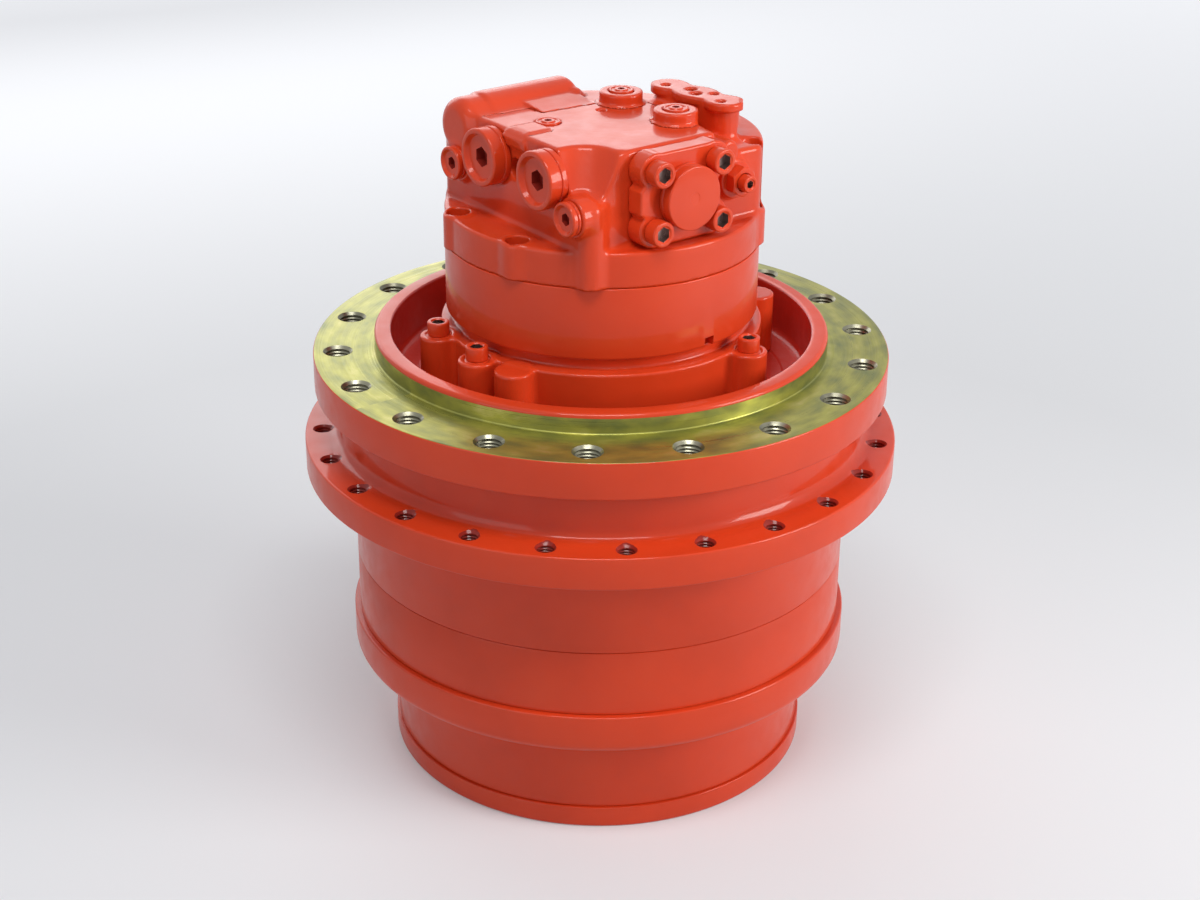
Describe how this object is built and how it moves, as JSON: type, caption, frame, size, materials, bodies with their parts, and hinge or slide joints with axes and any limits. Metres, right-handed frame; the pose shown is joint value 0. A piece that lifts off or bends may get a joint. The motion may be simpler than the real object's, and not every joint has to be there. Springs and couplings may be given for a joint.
{
  "type": "excavator final drive",
  "caption": "Track final drive: axial-piston travel motor on a two-stage planetary reducer inside a rotating flanged hub, with a parking brake and a counterbalance valve.",
  "frame": {"origin": "centre of the end cover's lower face, on the drive's main axis", "axes": "+Z along the main axis from the end cover to the motor, -X out of the port-plug face, -Y out of the valve-cap face"},
  "size_m": [0.44, 0.44, 0.508],
  "materials": {
    "red_enamel": "gloss enamel",
    "dark_steel": "oiled",
    "bare_steel": "machined",
    "gear_steel": "ground",
    "bronze": "machined"
  },
  "bodies": {
    "fixed_parts": {"spindle_housing": "red_enamel", "motor_flange": "red_enamel", "motor_casing": "red_enamel", "rear_head": "red_enamel", "motor_flange_bolt_1": "red_enamel", "motor_flange_bolt_2": "red_enamel", "motor_flange_bolt_3": "red_enamel", "motor_flange_bolt_4": "red_enamel", "head_bolt_1": "dark_steel", "head_bolt_2": "dark_steel", "head_bolt_3": "dark_steel", "head_bolt_4": "dark_steel", "port_plug_1": "red_enamel", "port_plug_2": "red_enamel", "side_plug_1": "red_enamel", "side_plug_2": "red_enamel", "gauge_plug_1": "red_enamel", "gauge_plug_2": "red_enamel", "gauge_plug_3": "red_enamel", "valve_cap": "red_enamel", "valve_cap_plug": "red_enamel", "valve_cap_screw_1": "red_enamel", "valve_cap_screw_2": "red_enamel", "valve_cap_screw_3": "red_enamel", "valve_cap_screw_4": "red_enamel", "adjuster_locknut": "red_enamel", "adjuster_screw": "red_enamel", "valve_plate": "bronze", "front_shaft_bearing": "bare_steel", "rear_shaft_bearing": "bare_steel", "carrier_2": "bare_steel", "bearing_nut": "dark_steel", "main_bearing_lower": "bare_steel", "main_bearing_upper": "bare_steel", "seal_ring_upper": "dark_steel"},
    "hub": {"hub_housing": "red_enamel", "ring_gear_2": "red_enamel", "ring_gear_1": "red_enamel", "end_cover": "red_enamel", "cover_plug_1": "dark_steel", "cover_plug_2": "dark_steel", "seal_ring_lower": "dark_steel", "thrust_washer": "bronze"},
    "first_carrier": {"carrier_1": "bare_steel", "sun_gear_2": "gear_steel"},
    "motor_shaft": {"drive_shaft": "bare_steel", "sun_gear_1": "gear_steel", "cylinder_block": "bare_steel", "pistons_and_retainer": "bronze", "brake_disc": "dark_steel"},
    "stage_1_planet_1": {"planet_1_1": "gear_steel"},
    "stage_1_planet_2": {"planet_1_2": "gear_steel"},
    "stage_1_planet_3": {"planet_1_3": "gear_steel"},
    "stage_2_planet_1": {"planet_2_1": "gear_steel"},
    "stage_2_planet_2": {"planet_2_2": "gear_steel"},
    "stage_2_planet_3": {"planet_2_3": "gear_steel"},
    "parking_brake_piston": {"brake_piston": "dark_steel"},
    "swash": {"swash_plate": "gear_steel"},
    "spool": {"counterbalance_spool": "bare_steel"}
  },
  "joints": [
    {"name": "hub_rotation", "type": "hinge", "parent": "fixed_parts", "child": "hub", "pos_m": [0, 0, 0.2], "axis": [0, 0, 1], "continuous": true},
    {"name": "first_carrier_spin", "type": "hinge", "parent": "fixed_parts", "child": "first_carrier", "pos_m": [0, 0, 0.085], "axis": [0, 0, 1], "continuous": true},
    {"name": "motor_shaft_spin", "type": "hinge", "parent": "fixed_parts", "child": "motor_shaft", "pos_m": [0, 0, 0.3], "axis": [0, 0, 1], "continuous": true},
    {"name": "stage_1_planet_1_spin", "type": "hinge", "parent": "first_carrier", "child": "stage_1_planet_1", "pos_m": [0.075, 0, 0.054], "axis": [0, 0, 1], "continuous": true},
    {"name": "stage_1_planet_2_spin", "type": "hinge", "parent": "first_carrier", "child": "stage_1_planet_2", "pos_m": [-0.0375, 0.06495, 0.054], "axis": [0, 0, 1], "continuous": true},
    {"name": "stage_1_planet_3_spin", "type": "hinge", "parent": "first_carrier", "child": "stage_1_planet_3", "pos_m": [-0.0375, -0.06495, 0.054], "axis": [0, 0, 1], "continuous": true},
    {"name": "stage_2_planet_1_spin", "type": "hinge", "parent": "fixed_parts", "child": "stage_2_planet_1", "pos_m": [0.0945, 0, 0.138], "axis": [0, 0, 1], "continuous": true},
    {"name": "stage_2_planet_2_spin", "type": "hinge", "parent": "fixed_parts", "child": "stage_2_planet_2", "pos_m": [-0.04725, 0.08184, 0.138], "axis": [0, 0, 1], "continuous": true},
    {"name": "stage_2_planet_3_spin", "type": "hinge", "parent": "fixed_parts", "child": "stage_2_planet_3", "pos_m": [-0.04725, -0.08184, 0.138], "axis": [0, 0, 1], "continuous": true},
    {"name": "brake_release", "type": "slide", "parent": "fixed_parts", "child": "parking_brake_piston", "axis": [0, 0, 1], "range_m": [0, 0.0025], "stiffness_N_per_m": 20000, "springref_m": -0.01},
    {"name": "swash_tilt", "type": "hinge", "parent": "fixed_parts", "child": "swash", "pos_m": [0, 0, 0.332], "axis": [1, 0, 0], "range_deg": [-6, 0], "stiffness_Nm_per_rad": 60, "springref_deg": 5.73},
    {"name": "spool_stroke", "type": "slide", "parent": "fixed_parts", "child": "spool", "axis": [0, 1, 0], "range_m": [-0.006, 0.006], "stiffness_N_per_m": 8000}
  ],
  "couplings": [
    {"joint": "first_carrier_spin", "follows": "hub_rotation", "ratio": -3.5},
    {"joint": "motor_shaft_spin", "follows": "hub_rotation", "ratio": -21.5},
    {"joint": "stage_1_planet_1_spin", "follows": "hub_rotation", "ratio": 12},
    {"joint": "stage_1_planet_2_spin", "follows": "hub_rotation", "ratio": 12},
    {"joint": "stage_1_planet_3_spin", "follows": "hub_rotation", "ratio": 12},
    {"joint": "stage_2_planet_1_spin", "follows": "hub_rotation", "ratio": 2.8},
    {"joint": "stage_2_planet_2_spin", "follows": "hub_rotation", "ratio": 2.8},
    {"joint": "stage_2_planet_3_spin", "follows": "hub_rotation", "ratio": 2.8}
  ]
}
